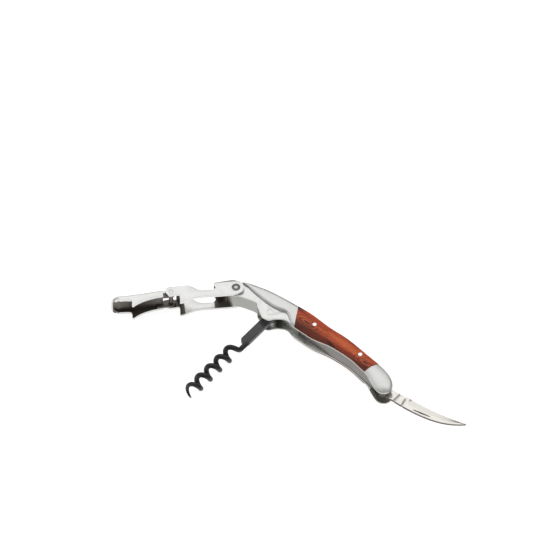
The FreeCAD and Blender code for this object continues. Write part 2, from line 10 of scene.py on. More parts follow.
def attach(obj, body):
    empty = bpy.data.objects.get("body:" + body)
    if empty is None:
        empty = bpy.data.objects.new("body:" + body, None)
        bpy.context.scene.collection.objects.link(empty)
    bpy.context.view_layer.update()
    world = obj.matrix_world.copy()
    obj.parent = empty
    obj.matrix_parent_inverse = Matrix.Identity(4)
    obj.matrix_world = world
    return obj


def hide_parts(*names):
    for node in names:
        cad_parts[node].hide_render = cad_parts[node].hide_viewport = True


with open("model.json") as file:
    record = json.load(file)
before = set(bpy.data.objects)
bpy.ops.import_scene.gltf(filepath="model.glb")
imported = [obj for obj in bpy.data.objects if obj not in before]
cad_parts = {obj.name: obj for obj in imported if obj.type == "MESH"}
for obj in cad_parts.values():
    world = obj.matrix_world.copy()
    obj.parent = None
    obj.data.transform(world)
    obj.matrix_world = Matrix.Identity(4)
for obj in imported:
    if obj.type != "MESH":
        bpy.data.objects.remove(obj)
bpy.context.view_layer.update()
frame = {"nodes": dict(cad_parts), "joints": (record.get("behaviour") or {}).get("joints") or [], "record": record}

MM = 0.001
JOINTS = {joint["name"]: joint for joint in frame["joints"]}
RIVET = Vector(JOINTS["lever_pivot"]["pos_m"])
HINGE = Vector(JOINTS["lever_hinge"]["pos_m"])
WORM = Vector(JOINTS["worm_pivot"]["pos_m"])
KNIFE = Vector(JOINTS["blade_pivot"]["pos_m"])

# the part's own measures across the handle, in mm from its middle plane
HALF = 6.8
CORE_HALF = 5.2
NEAR = 1
FAR = -1
SIDES = {"near": NEAR, "far": FAR}

# how far each limb is turned, in degrees
FIRST_ANGLE = 227.8
SECOND_ANGLE = 228.8
WORM_ANGLE = 270.8
KNIFE_ANGLE = 6

BODIES = frame["record"]["behaviour"]["bodies"]
BODY_OF = {node: body for body, nodes in BODIES.items() for node in nodes}
SLOT_OF = {row["node"]: row["material_slot"] for row in frame["record"]["subparts"]}


def limb(pivot, degrees):
    """From a limb's own drawing frame, in mm about its pivot, to the world."""
    return Matrix.Translation(pivot) @ Matrix.Rotation(math.radians(degrees), 4, "Z") @ Matrix.Scale(MM, 4)


ON_HANDLE = limb(RIVET, 0)
ON_FIRST = limb(RIVET, FIRST_ANGLE)
ON_SECOND = limb(HINGE, SECOND_ANGLE)
ON_WORM = limb(WORM, WORM_ANGLE)
ON_KNIFE = limb(KNIFE, KNIFE_ANGLE)


def at_handle(x, y):
    """A place on the handle, in mm from the lever rivet, in the world."""
    return RIVET + Vector((x, y, 0)) * MM


# ---------------------------------------------------------------- node helpers


class Shader:
    """A material's node tree, with short calls for the nodes that the finishes share.

    Places and sizes in it are metres, and the scale of a stretched noise is per metre.
    """

    def __init__(self, name):
        self.material = bpy.data.materials.new(name)
        self.material.use_nodes = True
        self.nodes = self.material.node_tree.nodes
        self.links = self.material.node_tree.links
        self.surface = self.nodes["Principled BSDF"]
        self.coordinates = self.nodes.new("ShaderNodeTexCoord").outputs["Object"]

    def set(self, **values):
        """Set sockets of the surface; an underscore in a name stands for a space."""
        for name, value in values.items():
            self.surface.inputs[name.replace("_", " ")].default_value = value

    def join(self, source, name):
        self.links.new(source, self.surface.inputs[name])

    def stretched(self, scale, turn=0.0):
        """Object coordinates turned to a grain direction, then scaled along and across it."""
        mapping = self.nodes.new("ShaderNodeMapping")
        mapping.vector_type = "TEXTURE"
        mapping.inputs["Scale"].default_value = tuple(1 / amount for amount in scale)
        mapping.inputs["Rotation"].default_value = (0, 0, math.radians(turn))
        self.links.new(self.coordinates, mapping.inputs["Vector"])
        return mapping.outputs["Vector"]

    def noise(self, vector, scale, detail=4.0, rough=0.5, distortion=0.0):
        node = self.nodes.new("ShaderNodeTexNoise")
        node.inputs["Scale"].default_value = scale
        node.inputs["Detail"].default_value = detail
        node.inputs["Roughness"].default_value = rough
        node.inputs["Distortion"].default_value = distortion
        self.links.new(vector, node.inputs["Vector"])
        return node.outputs["Fac"]

    def ramp(self, source, *stops):
        node = self.nodes.new("ShaderNodeValToRGB")
        ramp = node.color_ramp
        while len(ramp.elements) < len(stops):
            ramp.elements.new(0.5)
        for element, (position, colour) in zip(ramp.elements, stops):
            element.position = position
            element.color = (*colour, 1.0)
        self.links.new(source, node.inputs["Fac"])
        return node.outputs["Color"]

    def span(self, source, low, high, start=0.0, end=1.0):
        """Map start..end of a value to low..high."""
        node = self.nodes.new("ShaderNodeMapRange")
        for name, value in (("From Min", start), ("From Max", end), ("To Min", low), ("To Max", high)):
            node.inputs[name].default_value = value
        self.links.new(source, node.inputs["Value"])
        return node.outputs["Result"]

    def mix(self, first, second, share):
        """Colour between first and second, each a colour or another node's output."""
        node = self.nodes.new("ShaderNodeMix")
        node.data_type = "RGBA"
        for name, value in (("A", first), ("B", second)):
            socket = next(s for s in node.inputs if s.name == name and s.type == "RGBA")
            if isinstance(value, tuple):
                socket.default_value = (*value, 1.0)
            else:
                self.links.new(value, socket)
        self.links.new(share, node.inputs["Factor"])
        return next(s for s in node.outputs if s.type == "RGBA")

    def product(self, first, second):
        node = self.nodes.new("ShaderNodeMath")
        node.operation = "MULTIPLY"
        self.links.new(first, node.inputs[0])
        self.links.new(second, node.inputs[1])
        return node.outputs["Value"]

    def about(self, centre, size):
        """Coordinates about a centre in units of size, and their distance from it."""
        mapping = self.nodes.new("ShaderNodeMapping")
        mapping.vector_type = "TEXTURE"
        mapping.inputs["Location"].default_value = centre
        mapping.inputs["Scale"].default_value = size
        self.links.new(self.coordinates, mapping.inputs["Vector"])
        distance = self.nodes.new("ShaderNodeVectorMath")
        distance.operation = "LENGTH"
        self.links.new(mapping.outputs["Vector"], distance.inputs[0])
        return mapping.outputs["Vector"], distance.outputs["Value"]

    def swirl(self, centre):
        """Wavering rings drawn out along the grain about a centre, and how near it each point is."""
        place, distance = self.about(centre, (0.011, 0.0042, 0.05))
        wave = self.nodes.new("ShaderNodeTexWave")
        wave.wave_type = "RINGS"
        wave.rings_direction = "SPHERICAL"
        for name, value in (("Scale", 1.1), ("Distortion", 4.0), ("Detail", 3.0), ("Detail Scale", 1.4)):
            wave.inputs[name].default_value = value
        self.links.new(place, wave.inputs["Vector"])
        return (self.span(wave.outputs["Fac"], 0.0, 0.85, 0.55, 0.85),
                self.span(distance, 1.0, 0.0, 0.35, 1.1))

    def bump(self, height, distance, below=None):
        node = self.nodes.new("ShaderNodeBump")
        node.inputs["Distance"].default_value = distance
        node.inputs["Strength"].default_value = 1.0
        self.links.new(height, node.inputs["Height"])
        if below is not None:
            self.links.new(below, node.inputs["Normal"])
        return node.outputs["Normal"]


# ---------------------------------------------------------------- finishes


EVENLY = (1, 1, 1)


def shade(colour, share):
    return tuple(share * channel for channel in colour)


def steel(name, colour, roughness, grain, turn=0.0, depth=0.003):
    """Stamped or polished steel: fine directional grain, soft smudges and a few handling scratches.

    grain is how strongly the lines show, turn their direction in degrees, depth theirs in mm.
    """
    s = Shader(name)
    s.set(Metallic=1.0)
    smudges = s.noise(s.stretched(EVENLY), 110, detail=5, rough=0.6)
    lines = s.noise(s.stretched((240, 9000, 2500), turn), 1.0, detail=2)
    scratches = s.noise(s.stretched((120, 6200, 900), turn + 28), 1.0, detail=1, distortion=0.3)
    tint = s.mix(shade(colour, 0.86), colour, s.span(smudges, 0.0, 1.0, 0.3, 0.6))
    tint = s.mix(tint, shade(colour, 0.72), s.span(lines, 0.0, grain, 0.45, 0.8))
    s.join(tint, "Base Color")
    s.join(s.span(smudges, roughness * 0.8, roughness * 1.25, 0.3, 0.7), "Roughness")
    fine = s.bump(lines, depth * MM)
    s.join(s.bump(s.span(scratches, 0.0, 1.0, 0.70, 0.76), depth * MM, below=fine), "Normal")
    return s.material


RIVET_RIM = 2.5                        # mm, just outside the rivet's head


def rivet_with_painted_light(name, centre):
    """Rivet head: a painted highlight in the middle and a dark ring of painted shade round it, about the rivet's
    own axis.
    """
    s = Shader(name)
    s.set(Metallic=1.0)
    _, radius = s.about(centre, (MM, MM, 1.0))
    share = s.span(radius, 0.0, 1.0, 0.0, RIVET_RIM)
    worn = s.noise(s.stretched(EVENLY), 900, detail=4)
    # painted light: a bright middle, a dark ring of shade, then bright again at the rim
    rings = s.ramp(share, (0.0, (0.62, 0.62, 0.60)), (0.30, (0.55, 0.55, 0.53)),
                   (0.42, (0.16, 0.16, 0.15)), (0.82, (0.10, 0.10, 0.095)), (0.95, (0.60, 0.60, 0.58)))
    s.join(s.mix(rings, (0.30, 0.30, 0.29), s.span(worn, 0.0, 0.5, 0.5, 0.8)), "Base Color")
    s.join(s.span(worn, 0.22, 0.36, 0.3, 0.7), "Roughness")
    s.join(s.bump(share, 0.15 * MM), "Normal")
    return s.material


KNOTS = ((46.0, 7.6), (88.5, 8.0))     # middles of the swirls beside the two pins
DARK_WOOD = (0.035, 0.008, 0.005)


def rosewood(name):
    """Oiled red hardwood: bands along the handle, dark swirls about two knots, open pores, and painted shade along
    the belly and in the front top corner.
    """
    s = Shader(name)
    bands = s.noise(s.stretched((24, 300, 300), 2), 1.0, detail=5, rough=0.55, distortion=0.8)
    figure = s.noise(s.stretched((22, 210, 210), -3), 1.0, detail=4, rough=0.62, distortion=1.4)
    pores = s.noise(s.stretched((330, 5200, 5200), 1), 1.0, detail=2, rough=0.7)
    colour = s.ramp(bands, (0.30, (0.10, 0.010, 0.004)), (0.39, (0.34, 0.030, 0.006)),
                    (0.50, (0.66, 0.085, 0.018)), (0.68, (0.88, 0.185, 0.045)))
    colour = s.mix(colour, DARK_WOOD, s.span(figure, 0.0, 0.9, 0.56, 0.70))
    for knot in KNOTS:
        rings, nearness = s.swirl(at_handle(*knot))
        colour = s.mix(colour, (0.050, 0.020, 0.010), s.product(rings, nearness))
    # painted shade: the scale darkens towards its belly edge
    _, belly_painted_shade = s.about(at_handle(66, 2.0), (0.120, 0.0052, 0.5))
    colour = s.mix(colour, (0.055, 0.010, 0.005), s.span(belly_painted_shade, 0.80, 0.0, 0.55, 1.25))
    # painted shade in the scale's front top corner, by the front bolster
    _, corner_painted_shade = s.about(at_handle(36.0, 14.0), (0.0045, 0.0030, 0.5))
    colour = s.mix(colour, (0.045, 0.020, 0.022), s.span(corner_painted_shade, 0.85, 0.0, 0.5, 1.2))
    open_pores = s.span(pores, 0.0, 1.0, 0.60, 0.70)
    colour = s.mix(colour, (0.045, 0.010, 0.006), s.span(pores, 0.0, 0.65, 0.58, 0.70))
    s.join(colour, "Base Color")
    s.join(s.span(bands, 0.44, 0.32, 0.3, 0.7), "Roughness")
    s.set(Coat_Weight=0.08, Coat_Roughness=0.2, Specular_IOR_Level=0.28, IOR=1.5)
    s.join(s.bump(s.span(open_pores, 1.0, 0.0), 0.05 * MM), "Normal")
    return s.material


def coating(name, colour, roughness):
    """Sprayed non-stick coat: slight orange peel and rubbed highlights."""
    s = Shader(name)
    speckle = s.noise(s.stretched(EVENLY), 2600, detail=3)
    wear = s.noise(s.stretched(EVENLY), 260, detail=4)
    s.join(s.mix(colour, shade(colour, 2.2), s.span(wear, 0.0, 0.6, 0.5, 0.8)), "Base Color")
    s.join(s.span(speckle, roughness * 0.85, roughness * 1.2, 0.3, 0.7), "Roughness")
    s.join(s.bump(speckle, 0.02 * MM), "Normal")
    return s.material


SATIN = (0.76, 0.76, 0.745)

FINISHES = {
    "satin_steel": steel("satin_steel", SATIN, 0.29, 0.22, 3),
    "first_lever_steel": steel("first_lever_steel", SATIN, 0.29, 0.22, FIRST_ANGLE),
    "second_lever_steel": steel("second_lever_steel", SATIN, 0.29, 0.22, SECOND_ANGLE),
    "polished_steel": steel("polished_steel", (0.76, 0.76, 0.75), 0.19, 0.15, 8, depth=0.002),
    "pin_steel": steel("pin_steel", (0.86, 0.86, 0.86), 0.12, 0.10, 40, depth=0.002),
    "blade_steel": steel("blade_steel", (0.78, 0.76, 0.71), 0.24, 0.45, 96),
    "bolster_steel": steel("bolster_steel", (0.71, 0.71, 0.695), 0.33, 0.22, 3),
    "edge_steel": steel("edge_steel", (0.62, 0.62, 0.585), 0.46, 0.22, 3),
    "rivet_painted_light": rivet_with_painted_light("rivet_painted_light", RIVET),
    # painted shade: dark steel for the knife spring, inside the handle between the liners
    "inner_painted_shade": steel("inner_painted_shade", (0.26, 0.25, 0.235), 0.42, 0.35, 3),
    # painted shade: darker steel for the neck block under the levers
    "neck_painted_shade": steel("neck_painted_shade", (0.44, 0.44, 0.415), 0.46, 0.22, 3),
    # painted shade for the liners' inner faces round the knife's tang
    "bay_painted_shade": steel("bay_painted_shade", (0.22, 0.21, 0.19), 0.42, 0.4, 3),
    # painted shade: dark steel for faces in shade inside the levers, on the hinge pin's middle, the blade's spine
    # and nail nick
    "inside_painted_shade": steel("inside_painted_shade", (0.17, 0.155, 0.14), 0.45, 0.4, 228),
    "wood": rosewood("wood"),
    "coated_wire": coating("coated_wire", (0.014, 0.014, 0.016), 0.36),
    "shank_coat": coating("shank_coat", (0.055, 0.055, 0.060), 0.33),
}

# pieces whose look is their own and not that of their material slot
OWN_FINISH = {
    # painted shade on the neck block
    "neck_block": "neck_painted_shade",
    # painted shade on the knife spring
    "knife_spring": "inner_painted_shade",
    "near_front_bolster": "bolster_steel",
    "far_front_bolster": "bolster_steel",
    "near_rear_bolster": "bolster_steel",
    "far_rear_bolster": "bolster_steel",
    "worm_pin": "satin_steel",
    "hinge_pin": "first_lever_steel",
    "lever_rivet": "rivet_painted_light",
    "first_lever": "first_lever_steel",
    "second_lever": "second_lever_steel",
}


def finish_of(node):
    return FINISHES[OWN_FINISH.get(node, SLOT_OF[node])]


# ---------------------------------------------------------------- shaping


SAME_PLACE = 2e-6                      # metres
FLAT_WITHIN = math.radians(0.4)


def copy_node(node, place):
    """The node's own surface, in a limb's drawing frame, with its flat faces whole again."""
    shape = bmesh.new()
    shape.from_mesh(frame["nodes"][node].data)
    bmesh.ops.remove_doubles(shape, verts=shape.verts, dist=SAME_PLACE)
    shape.transform(place.inverted())
    bmesh.ops.dissolve_limit(shape, angle_limit=FLAT_WITHIN, verts=shape.verts, edges=shape.edges)
    return shape


def slice_by_plane(shape, point, normal):
    geometry = shape.verts[:] + shape.edges[:] + shape.faces[:]
    bmesh.ops.bisect_plane(shape, geom=geometry, dist=1e-4, plane_co=point, plane_no=normal)


def slice_at(shape, axis, places):
    """Cut the surface at places along one axis, 0 for x to 2 for z."""
    normal = Vector((0, 0, 0))
    normal[axis] = 1.0
    for place in places:
        slice_by_plane(shape, normal * place, normal)


def slice_along(shape, axis, start, stop, step):
    """Cut the surface by evenly spaced planes, so that it can be bent between them."""
    count = int((stop - start) / step) + 1
    slice_at(shape, axis, [start + index * step for index in range(count)])


def show(shape, node, place, finishes, edge=0.0, sharp=34):
    """Put a shaped piece in the place of its node.

    Edges sharper than sharp degrees stay sharp, and are rounded by edge mm if it is given.
    """
    shape.transform(place)
    mesh = bpy.data.meshes.new(f"{node}_look")
    bmesh.ops.recalc_face_normals(shape, faces=shape.faces)
    shape.to_mesh(mesh)
    shape.free()
    for finish in finishes:
        mesh.materials.append(finish)
    piece = bpy.data.objects.new(f"{node}_look", mesh)
    bpy.context.scene.collection.objects.link(piece)
    if edge:
        bevel = piece.modifiers.new("edge", "BEVEL")
        bevel.width = edge * MM
        bevel.segments = 2
        bevel.limit_method = "ANGLE"
        bevel.angle_limit = math.radians(sharp)
        bevel.use_clamp_overlap = True
        built = piece.evaluated_get(bpy.context.evaluated_depsgraph_get())
        rounded = bpy.data.meshes.new_from_object(built)
        piece.modifiers.clear()
        piece.data = rounded
    piece.data.shade_smooth()
    piece.data.set_sharp_from_angle(angle=math.radians(sharp))
    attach(piece, BODY_OF[node])
    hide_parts(node)


# ---------------------------------------------------------------- covers


# slanted joints between bolsters and wood, from above the back to below the belly
FRONT_JOINT = ((33.5, 15.5), (43.4, -1.0))
REAR_JOINT = ((94.3, 14.5), (90.8, 2.0))
SCALE_PINS = ((50, 9.5), (82.5, 10.6))
PIN_HOLE_REACH = 1.6
SCALE_RIM = {NEAR: 0.52, FAR: 0.80}    # share of a scale's height that is left at its rim
ACROSS_HANDLE = (-2.0, 14.6)


def off_line(point, line):
    """Distance of a point from a line, seen from above."""
    (x, y), (end_x, end_y) = line
    across = (end_x - x) * (point.y - y) - (end_y - y) * (point.x - x)
    return abs(across) / math.hypot(end_x - x, end_y - y)


def outer_rim(shape, side):
    """Segments of the cover's outline on the liner, less those along the slanted joints."""
    segments = []
    for edge in shape.edges:
        first, last = (vertex.co for vertex in edge.verts)
        middle = (first + last) / 2
        if abs(side * middle.z - CORE_HALF) > 0.01 or abs(first.z - last.z) > 0.01:
            continue
        upright = [face for face in edge.link_faces if abs(face.normal.z) < 0.5]
        at_joint = min(off_line(middle, FRONT_JOINT), off_line(middle, REAR_JOINT)) < 0.05
        at_hole = any(math.hypot(middle.x - x, middle.y - y) < PIN_HOLE_REACH for x, y in SCALE_PINS)
        if upright and not at_joint and not at_hole:
            segments.append((first.x, first.y, last.x, last.y))
    return np.array(segments)


def distance_to(segments, x, y):
    """Distance from a point to the nearest of many segments."""
    ax, ay, bx, by = segments.T
    along_x, along_y = bx - ax, by - ay
    square = np.maximum(along_x ** 2 + along_y ** 2, 1e-12)
    share = np.clip(((x - ax) * along_x + (y - ay) * along_y) / square, 0, 1)
    return float(np.min(np.hypot(x - ax - share * along_x, y - ay - share * along_y)))


def rounded_cover(node, side, span, width, low, step=(0.9, 0.32)):
    """A cover whose crown rolls down to its outer rim.

    The roll starts width mm inside the rim, and at the rim the share low of the height is left.
    """
    shape = copy_node(node, ON_HANDLE)
    segments = outer_rim(shape, side)
    slice_along(shape, 0, *span, step[0])
    slice_along(shape, 1, *ACROSS_HANDLE, step[1])
    for vertex in shape.verts:
        height = side * vertex.co.z - CORE_HALF
        if height < 0.01:
            continue
        inward = min(distance_to(segments, vertex.co.x, vertex.co.y) / width, 1.0)
        roll = low + (1 - low) * math.sqrt(1 - (1 - inward) ** 2)
        vertex.co.z = side * (CORE_HALF + height * roll)
    show(shape, node, ON_HANDLE, [finish_of(node)], sharp=50)


def covers():
    for name, side in SIDES.items():
        rounded_cover(f"{name}_rear_bolster", side, span=(90.5, 110.8), width=6.2, low=0.14,
                      step=(0.4, 0.3))
        rounded_cover(f"{name}_front_bolster", side, span=(-2.0, 43.0), width=2.2, low=0.35)
        rounded_cover(f"{name}_scale", side, span=(33.0, 94.0), width=4.6, low=SCALE_RIM[side])


# ---------------------------------------------------------------- levers


FIRST_LOW = -5.2                       # outer face of the first lever's web behind the rivet
HINGE_LOW = -4.6                       # outer face of its web at the hinge
FIRST_WEBS = ((5.2, 12.2), (29.6, 33.4))
FIRST_BEND = 1.3                       # outer radius between webs and walls
FIRST_BEND_TOP = -3.4                  # above both bends
FIRST_HALF_GAP = 5.35
WEB_SIDE = 0.7                         # inner faces get painted shade from this far above a web's outer face
WINDOW = (12.4, 29.3)                  # the walls' stretch between the webs, bright and free of painted shade
NOWHERE = 99.0

# outer face of the second lever's web
SECOND_LOW = ((4.6, -1.7), (8.5, -1.7), (14.4, -1.3), (22.3, -1.1), (28, -0.9), (34.2, -0.4))
SECOND_WEB = (4.6, 28.0)
SECOND_BEND = 1.2
SECOND_BEND_TOP = 0.6
SECOND_HALF_GAP = 5.2
SECOND_FLOOR = -0.6                    # faces between the walls get painted shade above this
WEB_START = 4.5                        # up to here there are only the tongues
TONGUE_TOP = 3.95                      # just above the near tongue's inner face
NOSE_START = 27.5


def round_bend(shape, floor, spans, radius):
    """Round the outer corners between web and walls, as sheet folds round a tool."""
    for vertex in shape.verts:
        x, y, z = vertex.co
        if not any(start - 0.01 <= x <= stop + 0.01 for start, stop in spans):
            continue
        up = radius - (y - floor(x))
        out = radius - (HALF - abs(z))
        reach = math.hypot(up, out)
        if up <= 0 or out <= 0 or reach <= radius * 0.999:
            continue
        vertex.co.y = floor(x) + radius - up * radius / reach
        vertex.co.z = math.copysign(HALF - radius + out * radius / reach, z)


def bend_slices(shape, low, high, radius):
    """Cut the two corners finely enough to round them."""
    slice_along(shape, 1, low + 0.1, high, 0.2)
    for side in SIDES.values():
        start = min(side * (HALF - radius), side * (HALF - 0.05))
        slice_along(shape, 2, start, start + radius, 0.2)


def paint_inside_shade(shape, half_gap, floor):
    """Give the faces between the walls the second finish, painted shade, from floor(x) up."""
    for face in shape.faces:
        middle = face.calc_center_median()
        if abs(middle.z) < half_gap + 0.02 and middle.y > floor(middle.x):
            face.material_index = 1


def first_lever():
    """Channel with two short webs, with painted shade inside except along the walls between them."""
    def web_low(x):
        return FIRST_LOW if x < sum(WINDOW) / 2 else HINGE_LOW

    # height from which the inner faces get painted shade
    def painted_shade_from(x):
        start, end = WINDOW
        return NOWHERE if start <= x < end else web_low(x) + WEB_SIDE

    shape = copy_node("first_lever", ON_FIRST)
    bend_slices(shape, FIRST_LOW, FIRST_BEND_TOP, FIRST_BEND)
    round_bend(shape, web_low, FIRST_WEBS, FIRST_BEND)
    slice_at(shape, 0, WINDOW)
    paint_inside_shade(shape, FIRST_HALF_GAP, painted_shade_from)
    finishes = [finish_of("first_lever"), FINISHES["inside_painted_shade"]]
    show(shape, "first_lever", ON_FIRST, finishes, edge=0.14, sharp=40)


def second_lever():
    """Channel with one long web and a closed nose: painted shade inside and on the tongues, bright round the nose.
    """
    def web_low(x):
        return float(np.interp(x, *zip(*SECOND_LOW)))

    shape = copy_node("second_lever", ON_SECOND)
    slice_along(shape, 0, 5.0, 33.0, 2.0)
    lowest = min(low for _, low in SECOND_LOW)
    bend_slices(shape, lowest, SECOND_BEND_TOP, SECOND_BEND)
    round_bend(shape, web_low, (SECOND_WEB,), SECOND_BEND)
    paint_inside_shade(shape, SECOND_HALF_GAP, lambda x: SECOND_FLOOR)
    shape.normal_update()
    for face in shape.faces:
        middle = face.calc_center_median()
        # painted shade on the tongues; the nose's outward faces keep the bright finish
        if middle.x < WEB_START and middle.z < TONGUE_TOP:
            face.material_index = 1
        elif middle.x > NOSE_START and face.normal.x > 0.2:
            face.material_index = 0
    finishes = [finish_of("second_lever"), FINISHES["inside_painted_shade"]]
    show(shape, "second_lever", ON_SECOND, finishes, edge=0.14, sharp=40)


# ---------------------------------------------------------------- worm


# measures of the part, in mm about the worm pin
PIN_RADIUS = 1.95
EYE_RADIUS = 3.6
SHANK_HALF_WIDTH = 2.65
SHANK_HALF_DEPTH = 1.4
SHANK_LENGTH = 23.6
SHANK_CORNER = 2.0
SHANK_STRAIGHT = 18.6                  # straight side, between the eye and the corner
WIRE_RADIUS = 1.5
WIRE_START = 21.4
COIL_RADIUS = 3.0
COIL_PITCH = 8.2
COIL_OFFSET = -1.6
LEAD_START = 26.5                      # the straight wire swings out into the coil from here
LEAD_END = 31.7
WORM_LENGTH = 70.6
HOOK_LENGTH = 7.5                      # end of the coil, drawn in a little
HOOK_SHARE = 0.05                      # share of the coil's radius by which it is drawn in
POINT_LENGTH = 9.0                     # end of the wire, ground to a point
POINT_SHARE = 0.07                     # share of the wire's radius that is left at the point


def smooth_step(share):
    share = min(max(share, 0.0), 1.0)
    return share * share * (3 - 2 * share)


def shank_outline():
    """Round the eye, along one side, round the two corners and back along the other side."""
    join = math.asin(SHANK_HALF_WIDTH / EYE_RADIUS)
    start = EYE_RADIUS * math.cos(join)
    sides = [start + SHANK_STRAIGHT * index / 12 for index in range(1, 12)]
    outline = []
    for index in range(25):
        angle = join + (2 * math.pi - 2 * join) * index / 24
        outline.append((EYE_RADIUS * math.cos(angle), EYE_RADIUS * math.sin(angle)))
    outline += [(x, -SHANK_HALF_WIDTH) for x in sides]
    for side, first in ((-1, -90), (1, 0)):
        for index in range(7):
            angle = math.radians(first + 15 * index)
            outline.append((SHANK_LENGTH - SHANK_CORNER + SHANK_CORNER * math.cos(angle),
                            side * (SHANK_HALF_WIDTH - SHANK_CORNER) + SHANK_CORNER * math.sin(angle)))
    outline += [(x, SHANK_HALF_WIDTH) for x in reversed(sides)]
    return outline


def shank(shape):
    """Flat bar with its eye: rings of points round the pin hole, joined from face to face."""
    outline = shank_outline()
    rings = []
    for z in (-SHANK_HALF_DEPTH, SHANK_HALF_DEPTH):
        outer = [shape.verts.new((x, y, z)) for x, y in outline]
        inner = []
        for x, y in outline:
            reach = math.hypot(x, y)
            inner.append(shape.verts.new((PIN_RADIUS * x / reach, PIN_RADIUS * y / reach, z)))
        rings.append((outer, inner))
    (low_outer, low_inner), (high_outer, high_inner) = rings
    loops = [(low_inner, low_outer), (low_outer, high_outer), (high_outer, high_inner),
             (high_inner, low_inner)]
    for first, second in loops:
        for index in range(len(outline)):
            after = (index + 1) % len(outline)
            shape.faces.new((first[index], first[after], second[after], second[index]))


def wire_path(step_count):
    """Middle of the wire: straight along the shank's edge, then swinging out into the coil."""
    step = (WORM_LENGTH - WIRE_START) / step_count
    centres = []
    turn = 0.0
    for index in range(step_count + 1):
        x = WIRE_START + index * step
        hook = smooth_step((x - WORM_LENGTH + HOOK_LENGTH) / HOOK_LENGTH)
        radius = COIL_RADIUS * (1 - HOOK_SHARE * hook)
        centres.append(Vector((x, COIL_OFFSET + radius * math.cos(turn), radius * math.sin(turn))))
        swing = smooth_step((x - LEAD_START) / (LEAD_END - LEAD_START))
        turn += swing * 2 * math.pi * step / COIL_PITCH
    return centres


def wire(shape):
    """Round wire along its path, drawn out to a point."""
    step_count = 420
    ring_count = 20
    straight_count = 60                # rings along the straight start, all turned the same way
    centres = wire_path(step_count)
    rings = []
    for index, centre in enumerate(centres):
        ahead = (centres[min(index + 1, step_count)] - centres[max(index - 1, 0)]).normalized()
        side = Vector((0, 0, 1))
        if index > straight_count:
            side = ahead.cross(Vector((1, 0.05, 0.02))).normalized()
        side = (side - ahead * side.dot(ahead)).normalized()
        other = ahead.cross(side)
        left = min((WORM_LENGTH - centre.x) / POINT_LENGTH, 1.0)
        share = POINT_SHARE + (1 - POINT_SHARE) * math.sin(left * math.pi / 2)
        radius = WIRE_RADIUS * min(1.0, share)
        ring = []
        for spoke in range(ring_count):
            angle = 2 * math.pi * spoke / ring_count
            out = side * math.cos(angle) + other * math.sin(angle)
            ring.append(shape.verts.new(centre + out * radius))
        rings.append(ring)
    for first, second in zip(rings, rings[1:]):
        for spoke in range(ring_count):
            after = (spoke + 1) % ring_count
            face = shape.faces.new((first[spoke], first[after], second[after], second[spoke]))
            face.material_index = 1
    for end in (rings[0], rings[-1]):
        shape.faces.new(end).material_index = 1


def worm():
    shape = bmesh.new()
    shank(shape)
    wire(shape)
    show(shape, "worm", ON_WORM, [FINISHES["shank_coat"], FINISHES["coated_wire"]], edge=0.35, sharp=50)


# ---------------------------------------------------------------- knife


# the blade's two sides as the part has them, carried on a little past the tip
KNIFE_EDGE = ((0, 2.2), (14.2, 2.9), (22, 3.0), (30, 3.5), (38, 4.4), (45, 5.6), (49.9, 6.75),
              (51, 7.0))
KNIFE_SPINE = ((0, -3.4), (13, -3.7), (22, -3.5), (31, -2.5), (39, -0.4), (46, 3.0), (50.3, 6.1),
               (51, 6.7))
FILE_CUTS = (((9.0, -3.9), (9.7, 2.6)), ((14.6, -3.9), (13.9, 0.6)))
CUT_HALF_WIDTH = 0.75
CUT_DEPTH = 0.62                       # share of the thickness
NAIL_NICK = ((20.8, -2.4), (32.0, -0.8))
NICK_FLOOR = (0.45, 0.85)              # heights between which only the nick has faces
NICK_SPAN = (20, 33)
NICK_REACH = 0.8                       # half width of the nick, and a little more
GRIND_START = 15.4
GRIND_FADE = 2.0                       # length over which the grinding begins
GRIND_WIDTH = 0.62                     # share of the blade's width
GRIND_LEAST = 0.4                      # least width of the grinding, at the tip
EDGE_LEFT = 0.20                       # share of the thickness that is left at the edge
TIP_TAPER = 0.3                        # share of the thickness that is lost on the way to the tip
TAPER_START = 14
TAPER_LENGTH = 38


def in_cut(point, cut):
    """How deep a point lies in a file cut: 1 along its middle, 0 outside it."""
    (_, low), (_, high) = cut
    past_end = max(low - point.y, point.y - high, 0.0)
    return 1 - smooth_step(math.hypot(off_line(point, cut), past_end) / CUT_HALF_WIDTH)


def slice_beside(shape, line):
    """Cut the surface by planes along a line and beside it, so that a groove has clean sides."""
    (x, y), (end_x, end_y) = line
    across = Vector((end_y - y, x - end_x, 0)).normalized()
    for quarter in range(-4, 5):
        offset = quarter / 4 * CUT_HALF_WIDTH
        slice_by_plane(shape, Vector((x, y, 0)) + across * offset, across)


def paint_knife_shade(shape):
    """Give the spine and the nail nick the second finish, painted shade."""
    shape.normal_update()
    low, high = NICK_FLOOR
    start, end = NICK_SPAN
    for face in shape.faces:
        middle = face.calc_center_median()
        # painted shade on the spine and on the nail nick's floor
        on_spine = abs(face.normal.z) < 0.5 and face.normal.y < 0
        on_floor = low < middle.z < high and start < middle.x < end
        in_nick = on_floor and off_line(middle, NAIL_NICK) < NICK_REACH
        if on_spine or in_nick:
            face.material_index = 1


